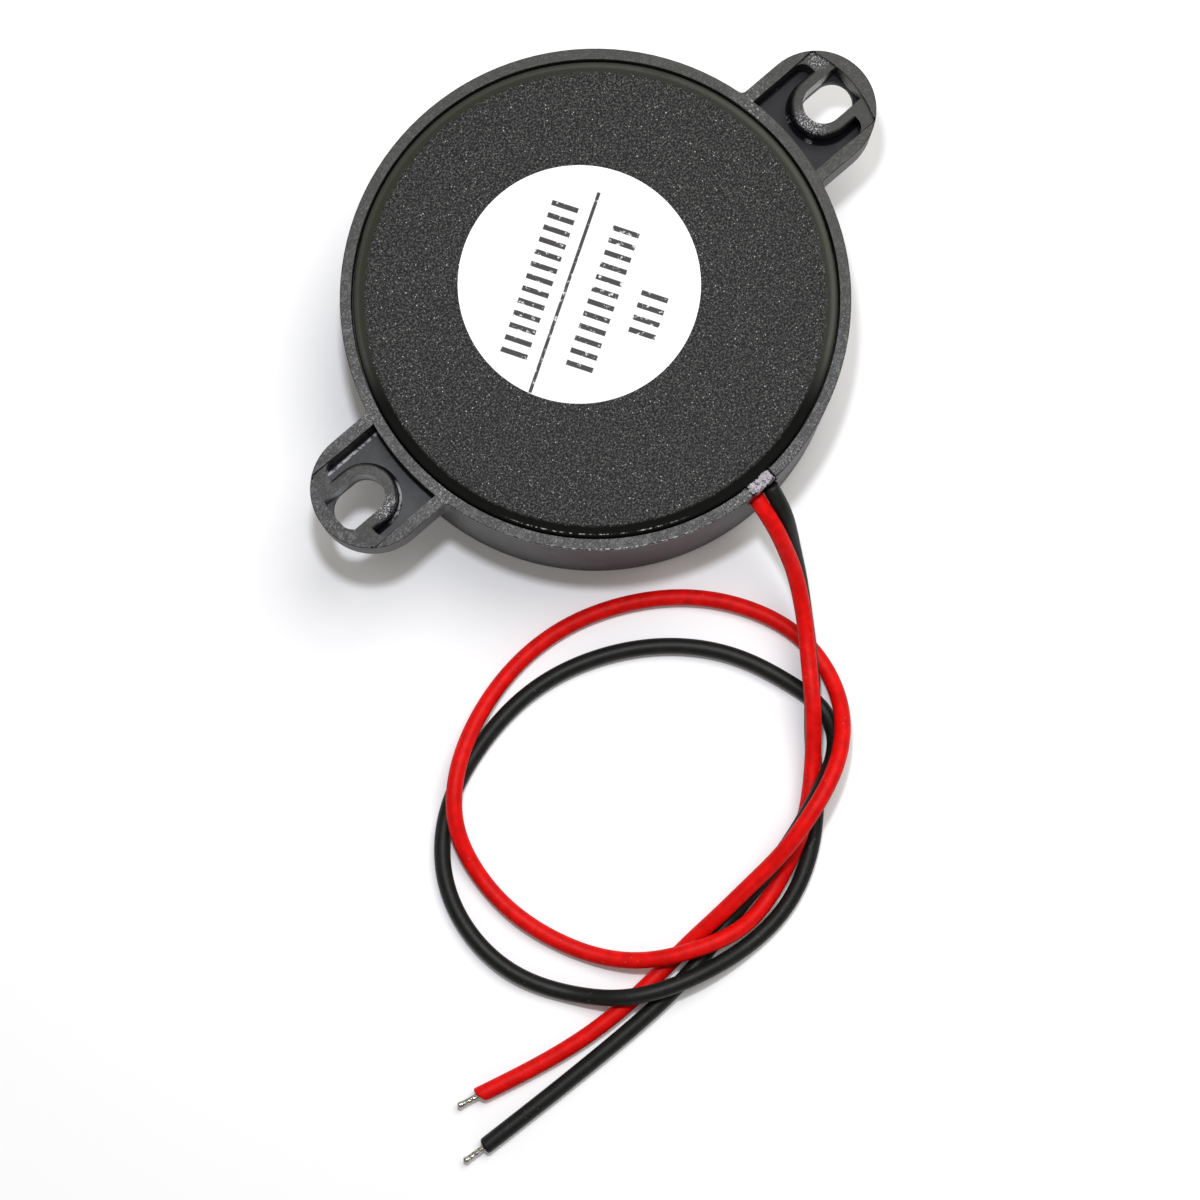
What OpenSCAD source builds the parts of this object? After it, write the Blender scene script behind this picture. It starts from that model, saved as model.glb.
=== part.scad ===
// Self-driven piezo buzzer: a round moulded housing with two slotted ears, a pressed-in back cover,
// a brass and ceramic disc over a sound chamber, its drive board and two free leads.
// The front face lies on the plane z = 0 and the back with its label is on top.
// The ears lie along X and the leads leave through the notch in the rim at -Y.

/* [Housing] */
// Outer diameter of the round body
body_d = 42; // [38:0.5:56]
// Height from the front face to the rim
body_h = 14; // [13.6:0.2:22]
// Thickness of the front wall
front_wall = 1.6; // [1:0.1:2.4]
// Rounding of the front edge
front_round = 0.8; // [0.2:0.1:1.2]
// Thickness of the round side wall below the cover
side_wall = 1.8; // [1.4:0.1:2.4]
// Thickness of the thin rim round the cover
rim_wall = 0.9; // [0.6:0.1:1.1]
// Diameter of the sound hole
sound_hole_d = 8; // [5:0.5:14]
// Width of the raised lip round the sound hole, inside the chamber
hole_lip_w = 1; // [0.6:0.1:2]
// Height of that lip
hole_lip_h = 0.8; // [0.4:0.1:1.2]
// Depth of the sound chamber between the front wall and the ledge
chamber_h = 2.6; // [2:0.1:3.6]
// Width of the ledge under the edge of the brass disc
ledge_w = 1.3; // [0.8:0.1:2.5]

/* [Ears] */
// Distance between the middles of the two slots
slot_pitch = 51.3; // [50.8:0.1:58]
// Width of each slot
slot_w = 3.4; // [2.6:0.1:4.2]
// Length of each slot
slot_l = 4.7; // [4.4:0.1:6]
// Width of each ear
ear_w = 9.9; // [9.2:0.1:12]
// Thickness of each ear, measured down from the rim
ear_t = 3.4; // [2.4:0.1:5]
// Thickness of the side walls of an ear
ear_wall = 1.05; // [0.8:0.05:1.4]
// Thickness of the solid end of an ear, beyond its slot
ear_end = 1.2; // [0.8:0.1:2.5]
// Length of the solid bar between the deep pocket and that end
ear_bar = 1.7; // [1:0.1:2.2]
// Radius of the curved inner face of that end, seen from above
end_bow = 10; // [8:0.5:20]
// Rounding of the deep pocket's outer corners
pocket_round = 1; // [0.2:0.1:1.2]
// Fillet along the foot of the ear's side walls
wall_foot = 0.4; // [0.1:0.05:0.5]
// Thickness of the floor of an ear
ear_floor = 0.9; // [0.6:0.1:1.6]
// Wall of the slotted boss
boss_wall = 0.95; // [0.6:0.05:1.1]
// How far the boss stays below the rim
boss_drop = 0.3; // [0.1:0.1:1]
// Rounding of the boss's shoulder
boss_round = 0.3; // [0.1:0.05:0.4]
// Slope at the foot of the boss
boss_foot = 0.35; // [0.1:0.05:0.5]
// Fillet where an ear meets the round body
neck_round = 0.5; // [0.4:0.1:2]

/* [Back cover] */
// Thickness of the cover disc
cover_t = 1.5; // [1:0.1:2]
// How far the cover lies below the rim
cover_drop = 0.15; // [0:0.05:0.4]
// Clearance between the cover and the rim
cover_gap = 0.15; // [0.1:0.05:0.4]
// Rounding of the cover's outer edge
cover_round = 0.6; // [0.3:0.1:0.95]
// Depth of the locating ring under the cover
ring_h = 1; // [0.6:0.1:1.4]
// Width of that ring
ring_w = 0.9; // [0.6:0.1:1.2]
// Clearance between the ring and the side wall
ring_gap = 0.15; // [0.05:0.05:0.3]
// Width of the tab that closes the notch
tab_w = 2.2; // [1.6:0.1:3.4]
// How far the tab's outer end stays inside the body's outer diameter
tab_inset = 0.1; // [0:0.05:0.3]
// Diameter of the label
label_d = 20; // [12:0.5:30]
// Thickness of the label
label_t = 0.1; // [0.05:0.05:0.2]
// Offset of the label from the middle of the cover, along X
label_x = -0.3; // [-3:0.1:3]
// Offset of the label from the middle of the cover, along Y
label_y = 1.7; // [-3:0.1:3]

/* [Sounder disc] */
// Diameter of the brass disc
plate_d = 35; // [30:0.5:35.2]
// Thickness of the brass disc
plate_t = 0.25; // [0.15:0.05:0.4]
// Diameter of the ceramic disc
ceramic_d = 25; // [18:0.5:28]
// Thickness of the ceramic disc
ceramic_t = 0.25; // [0.15:0.05:0.4]
// Width of the bare ceramic edge round the silver
silver_edge = 0.5; // [0.3:0.1:1]
// Thickness of the silver
silver_t = 0.05; // [0.03:0.01:0.1]
// Width of the feedback tongue in the silver
tongue_w = 4; // [2.5:0.5:6]
// Length of the feedback tongue
tongue_l = 9; // [6:0.5:11]
// Gap between the tongue and the main silver
tongue_gap = 0.6; // [0.3:0.1:1]
// Thickness of the soft ring under the brass disc
adhesive_t = 0.2; // [0.1:0.05:0.4]
// Clearance round the brass disc
plate_gap = 0.2; // [0.1:0.05:0.3]

/* [Drive board] */
// Thickness of the board
board_t = 1; // [0.6:0.1:1.6]
// Clearance between the board and the side wall
board_gap = 0.2; // [0.1:0.05:0.4]
// Space between the board and the ledge
board_lift = 3.2; // [2.4:0.1:3.4]
// Distance of the leads' holes from the edge of the board
lead_inset = 6.2; // [5.5:0.1:7]
// Width of each rib that carries the board
rib_w = 3; // [2:0.1:5]
// Diameter of the inductor
coil_d = 6.4; // [4:0.1:8]
// Height of the inductor
coil_h = 3.2; // [2:0.1:3.3]
// Thickness of the transistor's body, which lies flat
transistor_t = 2.8; // [2:0.1:3]
// Diameter of the resistors' bodies
resistor_d = 1.9; // [1.4:0.1:2.4]
// Length of the resistors' bodies
resistor_l = 5; // [3:0.1:6]
// Diameter of the diode's body
diode_d = 1.7; // [1.2:0.1:2.2]
// Length of the diode's body
diode_l = 3.6; // [2.5:0.1:4.5]
// Diameter of the component legs
leg_d = 0.5; // [0.4:0.05:0.6]
// Diameter of the thin wires to the disc
wire_d = 0.4; // [0.3:0.05:0.5]

/* [Leads] */
// Diameter of each insulated lead
lead_d = 1.4; // [1.1:0.1:1.5]
// Diameter of the stranded conductor
core_d = 0.6; // [0.5:0.1:0.9]
// Distance between the two leads in the notch
lead_pitch = 1.5; // [1.5:0.1:1.8]
// Clearance of the leads in the notch
notch_gap = 0.15; // [0.05:0.05:0.3]
// Length of the bare tinned end
tip_l = 2.1; // [1:0.1:5]

/* [Hidden] */

// Circles are round enough to come back as true curves
$fn = 64;

body_r = body_d / 2;
wall_r = body_r - side_wall;
rim_r = body_r - rim_wall;
cover_r = rim_r - cover_gap;
cover_top = body_h - cover_drop;
cover_bottom = cover_top - cover_t;
through = 1;

// Stack from the front wall up
ledge_z = front_wall + chamber_h;
plate_r = plate_d / 2;
plate_z = ledge_z + adhesive_t;
ceramic_z = plate_z + plate_t;
silver_z = ceramic_z + ceramic_t;
silver_top = silver_z + silver_t;
board_z = ledge_z + board_lift;
board_top = board_z + board_t;
board_r = wall_r - board_gap;
seat_r = plate_r + plate_gap;
shoulder_z = ceramic_z + silver_t;

// Ears
slot_r = slot_w / 2;
slot_in = slot_pitch / 2 - slot_l / 2 + slot_r;
slot_out = slot_pitch / 2 + slot_l / 2 - slot_r;
slot_end = slot_out + slot_r;
ear_r = ear_w / 2;
ear_x = slot_end + ear_end - ear_r;
ear_z = body_h - ear_t;
ear_deck = ear_z + ear_floor;
boss_r = slot_r + boss_wall;
boss_top = body_h - boss_drop;
pocket_w = ear_w - 2 * ear_wall;
pocket_end = slot_end - ear_bar;

// Leads and notch
lead_r = lead_d / 2;
lead_z = cover_bottom - lead_r - notch_gap / 3;
notch_w = lead_pitch + lead_d + 2 * notch_gap;
notch_z = lead_z - lead_r - notch_gap;
exit_y = -body_r;
tail_in = board_r - lead_inset;
bend_r = 1.5;
bare_len = 0.8;
tab_root = 0.35;

// Places of the parts on the board
rib_angles = [45, 135, 225, 315];
coil_at = [-8, 5];
transistor_at = [6.5, 6];
base_at = [4.6, -2.6];
bias_at = [4.6, -6.6];
diode_at = [-8.5, -5.5];
transistor_w = 4.4;
transistor_l = 4.2;
leg_pitch = 1.6;
leg_reach = 0.5;
leg_below = 0.5;
hole_play = 0.2;
seat_play = 0.05;
rib_root = 0.1;
winding_edge = 0.3;
flange_h = coil_h / 5;
cap_step = 0.3;

// Places of the thin wires: on the disc and in the board
plate_wire_at = [0, (ceramic_d / 2 + plate_r) / 2 - wire_d / 2];
drive_wire_at = [-6, -4];
feedback_wire_at = [0, 7.5];
solder_w = 0.5;
lead_solder_w = 0.3;
solder_h = 0.45;

// Routes of the free leads, from the notch to where the insulation ends
red_route = [[-lead_pitch / 2, exit_y, lead_z], [-0.9, -22.3, 11.4], [-1, -23.8, 10.5],
    [-1.3, -25.5, 8.7], [-1.6, -27.1, 7], [-2.4, -29, 5.5], [-3.7, -31.3, 4.4],
    [-5.7, -34.1, 3.9], [-7.7, -36.9, 3.8], [-9.6, -39.2, 2.7], [-14.2, -43.5, 1.9],
    [-17.4, -45.3, 1.1], [-21.3, -46.7, 0.8], [-24.3, -47, 1.8], [-28.2, -45.9, 2.6],
    [-32.2, -43.8, 2], [-35.2, -40.7, 0.9], [-37.2, -36.8, 0.8], [-38.3, -32.4, 0.8],
    [-38.2, -28.3, 0.9], [-36.6, -23.9, 2.2], [-33.9, -21.2, 2.4], [-30.2, -19.1, 1.6],
    [-23.5, -17.5, 0.8], [-19, -17.8, 0.8], [-13.9, -19.6, 0.8], [-9.1, -22.9, 0.8],
    [-5.8, -27.2, 0.8], [-4.2, -32, 0.8], [-4.7, -36.3, 1.4], [-7, -40, 3.3],
    [-10.6, -42.4, 4.8], [-14.2, -43.6, 5.1], [-17.6, -44.4, 4.1], [-21.8, -44.7, 2.8],
    [-25.1, -44.9, 2.1], [-28.3, -45, 0.9], [-32.3, -45.3, 0.8], [-39.3, -45.3, 0.8],
    [-50.2, -43, 0.8]];
black_route = [[lead_pitch / 2, exit_y, lead_z], [0.7, -22, 11.4], [0.6, -23.2, 10.6],
    [0.3, -24.5, 8.8], [-0.5, -26.1, 6.4], [-1.2, -27.6, 4.7], [-2.5, -29.8, 3.1],
    [-4.1, -32.3, 2.4], [-6.5, -35.6, 2.3], [-7.8, -37.1, 2.2], [-9.3, -38.9, 1.2],
    [-12.6, -43.2, 0.8], [-15.2, -45.6, 0.8], [-18, -47.3, 0.8], [-21.8, -48.4, 0.8], [-25.5, -48.4, 1],
    [-28.3, -47.9, 1.9], [-32, -46.8, 2.4], [-35.4, -45.1, 2.4], [-38.4, -42.3, 0.9],
    [-41.2, -37.9, 0.8], [-42.1, -33.4, 0.8], [-40.7, -27.4, 0.8], [-36.6, -23, 0.8],
    [-31.2, -20.8, 0.8], [-24.5, -20.1, 0.8], [-18.3, -21.7, 0.8],
    [-12.1, -25.9, 0.8], [-9.1, -30, 0.8], [-7.4, -34.5, 0.8], [-6.8, -37.4, 0.8],
    [-7.7, -40.1, 1.7], [-10.3, -41.9, 3.1], [-13.6, -43.2, 3.5], [-17.4, -44.4, 2.5],
    [-20.9, -45.1, 1.6], [-24.4, -45.7, 0.8], [-28.2, -46.6, 0.8], [-37.4, -47.2, 0.8],
    [-52.7, -46.5, 0.8]];
lead_sides = 8;

// Colours as the photograph shows them
black_plastic = [0.09, 0.09, 0.1];
cover_plastic = [0.2, 0.2, 0.2];
red_jacket = [0.9, 0.12, 0.1];
black_jacket = [0.12, 0.12, 0.11];
tinned = [0.75, 0.74, 0.7];
solder_grey = [0.7, 0.71, 0.72];

// A flat ring from one radius to another, standing on z
module ring(outer, inner, low, high) {
    translate([0, 0, low])
        difference() {
            cylinder(h = high - low, r = outer);
            translate([0, 0, -through])
                cylinder(h = high - low + 2 * through, r = inner);
        }
}

// Something made once for each ear
module both_ears() {
    for (side = [0, 180])
        rotate([0, 0, side])
            children();
}

// Outline of one ear, from inside the body to its round end
module ear_outline() {
    translate([ear_x, 0])
        circle(r = ear_r);
    translate([0, -ear_r])
        square([ear_x, ear_w]);
    neck_fillet();
    mirror([0, 1])
        neck_fillet();
}

// Fillet between the round body and the straight side of an ear
module neck_fillet() {
    foot_y = ear_r + neck_round;
    foot_x = sqrt(pow(body_r + neck_round, 2) - pow(foot_y, 2));
    touch = body_r / (body_r + neck_round);
    difference() {
        polygon([[foot_x * touch, foot_y * touch], [foot_x * touch, 0], [foot_x, 0], [foot_x, foot_y]]);
        translate([foot_x, foot_y])
            circle(r = neck_round);
    }
}

// Everything inside the curved face at an ear's solid end
module end_face() {
    translate([slot_end - end_bow, 0])
        circle(r = end_bow);
}

// Slot with two round ends, through the floor of the ear
module slot_cut(low, high) {
    for (x = [slot_in, slot_out])
        translate([x, 0, low])
            cylinder(h = high - low, r = slot_r);
    translate([slot_in, -slot_r, low])
        cube([slot_out - slot_in, slot_w, high - low]);
}

// Outline of the slot above that floor: round at its inner end, closed by the curved face
module slot_outline() {
    translate([slot_in, 0])
        circle(r = slot_r);
    intersection() {
        translate([slot_in, -slot_r])
            square([slot_end - slot_in, slot_w]);
        end_face();
    }
}

// Outline of the deep pocket, between the side walls of an ear, with rounded outer corners
module pocket_outline() {
    corner_y = pocket_w / 2 - pocket_round;
    translate([0, -pocket_w / 2])
        square([pocket_end - pocket_round, pocket_w]);
    translate([0, -corner_y])
        square([pocket_end, 2 * corner_y]);
    for (side = [-1, 1])
        translate([pocket_end - pocket_round, side * corner_y])
            circle(r = pocket_round);
}

// Outline of the shallow step over the boss and the bar, up to the curved face
module step_outline() {
    intersection() {
        translate([0, -pocket_w / 2])
            square([slot_end, pocket_w]);
        end_face();
    }
}

// A hollow in an ear with the outline of its children, from z = low up, outside the round body
module ear_hollow(low) {
    difference() {
        translate([0, 0, low])
            linear_extrude(body_h)
                children();
        cylinder(h = 3 * body_h, r = body_r);
    }
}

// Concave fillet along the foot of both side walls of the pocket
module pocket_feet() {
    for (side = [-1, 1])
        translate([body_r - side_wall, side * pocket_w / 2, ear_deck])
            rotate([90, 0, 90])
                linear_extrude(pocket_end - body_r + side_wall)
                    difference() {
                        translate([-wall_foot, 0])
                            square([2 * wall_foot, wall_foot]);
                        translate([-side * wall_foot, wall_foot])
                            circle(r = wall_foot);
                    }
}

// Half section of a boss, from its middle outwards, with a rounded shoulder and a sloping foot
module boss_section() {
    translate([0, ear_z])
        square([boss_r - boss_round, boss_top - ear_z]);
    translate([0, ear_z])
        square([boss_r, boss_top - ear_z - boss_round]);
    translate([boss_r - boss_round, boss_top - boss_round])
        circle(r = boss_round);
    polygon([[0, ear_deck], [boss_r + boss_foot, ear_deck], [boss_r, ear_deck + boss_foot],
        [0, ear_deck + boss_foot]]);
}

// U-shaped boss round a slot
module slot_boss() {
    translate([slot_in, 0, 0])
        rotate_extrude()
            boss_section();
    translate([slot_in, 0, 0])
        rotate([90, 0, 90])
            linear_extrude(pocket_end + ear_bar / 2 - slot_in) {
                boss_section();
                mirror([1, 0])
                    boss_section();
            }
}

// One ear before its slot is cut: a deep pocket, then a bar at the height of the boss
module ear_body() {
    difference() {
        translate([0, 0, ear_z])
            linear_extrude(ear_t)
                ear_outline();
        ear_hollow(ear_deck)
            pocket_outline();
        ear_hollow(boss_top)
            step_outline();
    }
    pocket_feet();
    slot_boss();
}

// Section of the round shell, from the axis outwards
module shell_section() {
    difference() {
        union() {
            translate([0, front_round])
                square([body_r, body_h - front_round]);
            square([body_r - front_round, front_round]);
            translate([body_r - front_round, front_round])
                circle(r = front_round);
        }
        // chamber, disc seat, room for the board and seat of the cover
        translate([-through, front_wall])
            square([through + plate_r - ledge_w, body_h]);
        translate([0, ledge_z])
            square([seat_r, body_h]);
        translate([0, shoulder_z])
            square([wall_r, body_h]);
        translate([0, cover_bottom])
            square([rim_r, body_h]);
    }
}

// Ribs that carry the board, standing on the shoulder round the disc
module board_ribs() {
    for (angle = rib_angles)
        rotate([0, 0, angle])
            intersection() {
                translate([seat_r, -rib_w / 2, shoulder_z - rib_root])
                    cube([body_r - seat_r, rib_w, board_z - shoulder_z + rib_root]);
                cylinder(h = body_h, r = wall_r + side_wall / 2);
            }
}

// Black moulding: shell, ears, chamber, seats and ribs in one piece
module housing() {
    color(black_plastic)
        difference() {
            union() {
                rotate_extrude()
                    shell_section();
                board_ribs();
                ring(sound_hole_d / 2 + hole_lip_w, sound_hole_d / 2, front_wall, front_wall + hole_lip_h);
                difference() {
                    both_ears()
                        ear_body();
                    cylinder(h = body_h + through, r = body_r - rim_wall / 2);
                }
            }
            translate([0, 0, -through])
                cylinder(h = front_wall + hole_lip_h + 2 * through, r = sound_hole_d / 2);
            both_ears() {
                slot_cut(ear_z - through, ear_deck);
                translate([0, 0, ear_deck])
                    linear_extrude(ear_t)
                        slot_outline();
            }
            // notch that lets the leads out under the cover's tab
            translate([-notch_w / 2, -body_r - through, notch_z])
                cube([notch_w, side_wall + 2 * through, body_h]);
        }
}

// Pressed-in cover: a disc with a rounded edge, a locating ring and the notch's tab
module back_cover() {
    edge_r = cover_r - cover_round;
    color(cover_plastic)
        difference() {
            union() {
                rotate_extrude() {
                    translate([0, cover_bottom])
                        square([edge_r, cover_t]);
                    translate([0, cover_bottom])
                        square([cover_r, cover_t - cover_round]);
                    intersection() {
                        translate([edge_r, cover_top - cover_round])
                            circle(r = cover_round);
                        translate([edge_r, cover_top - cover_round])
                            square(cover_round);
                    }
                }
                translate([-tab_w / 2, tab_inset - body_r, cover_bottom])
                    cube([tab_w, body_r - tab_inset - cover_r + tab_root, cover_t]);
                ring(wall_r - ring_gap, wall_r - ring_gap - ring_w, cover_bottom - ring_h,
                    cover_bottom + cover_t / 2);
            }
            // opening in the locating ring for the leads
            translate([-notch_w / 2, -body_r, cover_bottom - ring_h - through])
                cube([notch_w, body_r / 2, ring_h + through]);
        }
}

// Round paper label on the cover
module back_label() {
    color("white")
        translate([label_x, label_y, cover_top])
            cylinder(h = label_t, r = label_d / 2);
}

// Soft ring that bonds the brass disc to the ledge
module disc_adhesive() {
    color([0.85, 0.85, 0.82])
        ring(plate_r - plate_gap, plate_r - ledge_w + plate_gap, ledge_z, plate_z);
}

// Brass disc
module piezo_plate() {
    color("gold")
        translate([0, 0, plate_z])
            cylinder(h = plate_t, r = plate_r);
}

// Ceramic disc bonded to the brass
module piezo_ceramic() {
    color([0.87, 0.84, 0.74])
        translate([0, 0, ceramic_z])
            cylinder(h = ceramic_t, r = ceramic_d / 2);
}

// Outline of the feedback tongue, grown by a margin
module tongue_outline(margin) {
    reach = ceramic_d / 2 - tongue_l + tongue_w / 2;
    translate([0, reach])
        circle(r = tongue_w / 2 + margin);
    translate([-tongue_w / 2 - margin, reach])
        square([tongue_w + 2 * margin, ceramic_d]);
}

// Main silver area
module drive_electrode() {
    color("silver")
        translate([0, 0, silver_z])
            linear_extrude(silver_t)
                difference() {
                    circle(r = ceramic_d / 2 - silver_edge);
                    tongue_outline(tongue_gap);
                }
}

// Feedback tongue in the silver
module feedback_electrode() {
    color("silver")
        translate([0, 0, silver_z])
            linear_extrude(silver_t)
                intersection() {
                    circle(r = ceramic_d / 2 - silver_edge);
                    tongue_outline(0);
                }
}

// Where each bare leg or wire goes down through the board
leg_holes = concat(
    [for (i = [-1, 0, 1]) [transistor_at[0] + i * leg_pitch, transistor_at[1] - transistor_l / 2 - leg_reach]],
    [for (at = [base_at, bias_at], side = [-1, 1]) [at[0] + side * (resistor_l / 2 + leg_reach), at[1]]],
    [for (side = [-1, 1]) [diode_at[0], diode_at[1] + side * (diode_l / 2 + leg_reach)]]);
wire_holes = [plate_wire_at, drive_wire_at, feedback_wire_at];
lead_holes = [for (side = [-1, 1]) [side * lead_pitch / 2, -tail_in]];
pin_holes = [for (side = [-1, 1]) [coil_at[0], coil_at[1] + side * coil_d / 4]];

// A row of round holes through the board
module board_holes(places, hole) {
    for (at = places)
        translate([at[0], at[1], board_z - through])
            cylinder(h = board_t + 2 * through, d = hole, $fn = 24);
}

// Round board with a hole for each leg, pin, wire and lead
module circuit_board() {
    color([0.1, 0.4, 0.2])
        difference() {
            translate([0, 0, board_z])
                cylinder(h = board_t, r = board_r);
            board_holes(leg_holes, leg_d + hole_play);
            board_holes(pin_holes, leg_d + hole_play);
            board_holes(wire_holes, wire_d + hole_play);
            board_holes(lead_holes, core_d + hole_play);
        }
}

// A straight leg down through the board, from a height above it to just below it
module board_leg(at, from_z, d) {
    translate([at[0], at[1], board_z - leg_below])
        cylinder(h = from_z - board_z + leg_below, d = d, $fn = 24);
}

// Moulded transistor lying on its flat side, with three bent legs
module transistor() {
    axis_z = board_top + seat_play + transistor_t / 2;
    front_y = transistor_at[1] - transistor_l / 2;
    color([0.1, 0.1, 0.1])
        translate([transistor_at[0], transistor_at[1] + transistor_l / 2, board_top + seat_play])
            rotate([90, 0, 0])
                linear_extrude(transistor_l)
                    intersection() {
                        translate([0, transistor_t - transistor_w / 2])
                            circle(d = transistor_w);
                        translate([-transistor_w / 2, 0])
                            square([transistor_w, transistor_t]);
                    }
    color(tinned)
        for (i = [0, 1, 2]) {
            at = leg_holes[i];
            board_leg(at, axis_z, leg_d);
            translate([at[0], at[1], axis_z])
                sphere(d = leg_d, $fn = 24);
            translate([at[0], at[1], axis_z])
                rotate([-90, 0, 0])
                    cylinder(h = front_y - at[1], d = leg_d, $fn = 24);
        }
}

// Ferrite drum with its two pins
module inductor_core() {
    color([0.25, 0.25, 0.27])
        translate([coil_at[0], coil_at[1], board_top]) {
            cylinder(h = flange_h, d = coil_d);
            cylinder(h = coil_h, d = coil_d / 2);
            translate([0, 0, coil_h - flange_h])
                cylinder(h = flange_h, d = coil_d);
        }
    color(tinned)
        for (at = pin_holes)
            board_leg(at, board_top + flange_h / 2, leg_d);
}

// Copper wire wound between the flanges, as one bobbin-shaped solid
module inductor_winding() {
    color([0.72, 0.42, 0.2])
        translate([coil_at[0], coil_at[1], 0])
            ring(coil_d / 2 - winding_edge, coil_d / 4, board_top + flange_h, board_top + coil_h - flange_h);
}

// A body on its side with a leg bent down at each end, lying along X
module axial_part(body_len, d, cap) {
    axis_z = board_top + seat_play + d / 2;
    leg_x = body_len / 2 + leg_reach;
    translate([0, 0, axis_z])
        rotate([0, 90, 0]) {
            cylinder(h = body_len, d = d - cap, center = true);
            for (side = [-1, 1])
                translate([0, 0, side * (body_len - body_len / 4) / 2])
                    cylinder(h = body_len / 4, d = d, center = true);
            cylinder(h = 2 * leg_x, d = leg_d, center = true, $fn = 24);
        }
    for (side = [-1, 1]) {
        board_leg([side * leg_x, 0], axis_z, leg_d);
        translate([side * leg_x, 0, axis_z])
            sphere(d = leg_d, $fn = 24);
    }
}

// Resistor in the transistor's base line
module base_resistor() {
    color([0.8, 0.68, 0.48])
        translate([base_at[0], base_at[1], 0])
            axial_part(resistor_l, resistor_d, cap_step);
}

// Resistor that biases the feedback
module bias_resistor() {
    color([0.8, 0.68, 0.48])
        translate([bias_at[0], bias_at[1], 0])
            axial_part(resistor_l, resistor_d, cap_step);
}

// Diode that guards against a swapped supply
module diode() {
    color([0.75, 0.3, 0.15])
        translate([diode_at[0], diode_at[1], 0])
            rotate([0, 0, 90])
                axial_part(diode_l, diode_d, 0);
}

// A thin wire from the disc up through the board
module disc_wire(at, from_z) {
    translate([at[0], at[1], from_z])
        cylinder(h = board_top + leg_below - from_z, d = wire_d, $fn = 24);
}

// Wire to the brass
module plate_wire() {
    color([0.15, 0.15, 0.15])
        disc_wire(plate_wire_at, ceramic_z);
}

// Wire to the main silver area
module drive_wire() {
    color([0.7, 0.1, 0.1])
        disc_wire(drive_wire_at, silver_top);
}

// Wire to the feedback tongue
module feedback_wire() {
    color([0.2, 0.3, 0.7])
        disc_wire(feedback_wire_at, silver_top);
}

// A cone of solder round a leg; it widens downwards when up is 1 and upwards when up is -1
module solder_cone(at, z, d, up, width = solder_w) {
    translate([at[0], at[1], z])
        mirror([0, 0, up < 0 ? 1 : 0])
            difference() {
                cylinder(h = solder_h, r1 = d / 2 + width, r2 = d / 2 + width / 3);
                translate([0, 0, -through])
                    cylinder(h = solder_h + 2 * through, d = d, $fn = 24);
            }
}

// Joints on the disc, one for each thin wire
module disc_solder() {
    color(solder_grey) {
        solder_cone(plate_wire_at, ceramic_z, wire_d, 1);
        solder_cone(drive_wire_at, silver_top, wire_d, 1);
        solder_cone(feedback_wire_at, silver_top, wire_d, 1);
    }
}

// Joints under the board for legs, pins and leads, and on top of it for the thin wires
module board_solder() {
    color(solder_grey) {
        for (at = concat(leg_holes, pin_holes))
            solder_cone(at, board_z, leg_d, -1);
        for (at = lead_holes)
            solder_cone(at, board_z, core_d, -1, lead_solder_w);
        for (at = wire_holes)
            solder_cone(at, board_top, wire_d, 1);
    }
}

// The stretch of a lead inside the housing: along under the cover, then down into the board
module lead_tail(x) {
    bare_z = board_top + bare_len;
    translate([x, exit_y, lead_z])
        rotate([-90, 0, 0])
            cylinder(h = -exit_y - tail_in - bend_r, r = lead_r, $fn = 32);
    translate([x, -tail_in - bend_r, lead_z - bend_r])
        rotate([0, -90, 0])
            rotate_extrude(angle = 90, $fn = 64)
                translate([bend_r, 0])
                    circle(r = lead_r, $fn = 32);
    translate([x, -tail_in, bare_z])
        cylinder(h = lead_z - bend_r - bare_z, r = lead_r, $fn = 32);
    board_leg([x, -tail_in], bare_z, core_d);
}

// Inner stretch of the red lead
module red_tail() {
    color(red_jacket)
        lead_tail(-lead_pitch / 2);
}

// Inner stretch of the black lead
module black_tail() {
    color(black_jacket)
        lead_tail(lead_pitch / 2);
}

// Unit vector
function unit(v) = v / norm(v);

// Direction of a route at point i: straight out at the notch, along the last stretch at the end
function heading(route, i) =
    i == 0 ? [0, -1, 0] : unit(route[min(i + 1, len(route) - 1)] - route[i - 1]);

// One ring of points round a route, square to its direction
function lead_ring(route, i, r, sides) =
    let (along = heading(route, i), across = unit(cross([0, 0, 1], along)), up = cross(along, across))
        [for (k = [0 : sides - 1]) let (a = 360 * (k + 0.5) / sides)
            route[i] + r * (cos(a) * across + sin(a) * up)];

// Closed tube of a given radius along a route
module tube(route, r, sides) {
    rings = len(route);
    points = [for (i = [0 : rings - 1]) each lead_ring(route, i, r, sides)];
    walls = [for (i = [0 : rings - 2], k = [0 : sides - 1]) let (n = (k + 1) % sides)
        [i * sides + k, (i + 1) * sides + k, (i + 1) * sides + n, i * sides + n]];
    start = [for (k = [0 : sides - 1]) k];
    finish = [for (k = [sides - 1 : -1 : 0]) (rings - 1) * sides + k];
    polyhedron(points = points, faces = concat(walls, [start, finish]), convexity = 10);
}

// Free red lead
module red_lead() {
    color(red_jacket)
        tube(red_route, lead_r, lead_sides);
}

// Free black lead
module black_lead() {
    color(black_jacket)
        tube(black_route, lead_r, lead_sides);
}

// Bare tinned end of a lead, in line with its last stretch
module lead_tip(route) {
    end = route[len(route) - 1];
    along = end - route[len(route) - 2];
    translate(end)
        rotate([0, 90, atan2(along[1], along[0])]) {
            cylinder(h = tip_l - core_d / 2, d = core_d, $fn = 32);
            translate([0, 0, tip_l - core_d / 2])
                sphere(d = core_d, $fn = 32);
        }
}

// Tinned end of the red lead
module red_tip() {
    color(tinned)
        lead_tip(red_route);
}

// Tinned end of the black lead
module black_tip() {
    color(tinned)
        lead_tip(black_route);
}

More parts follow.
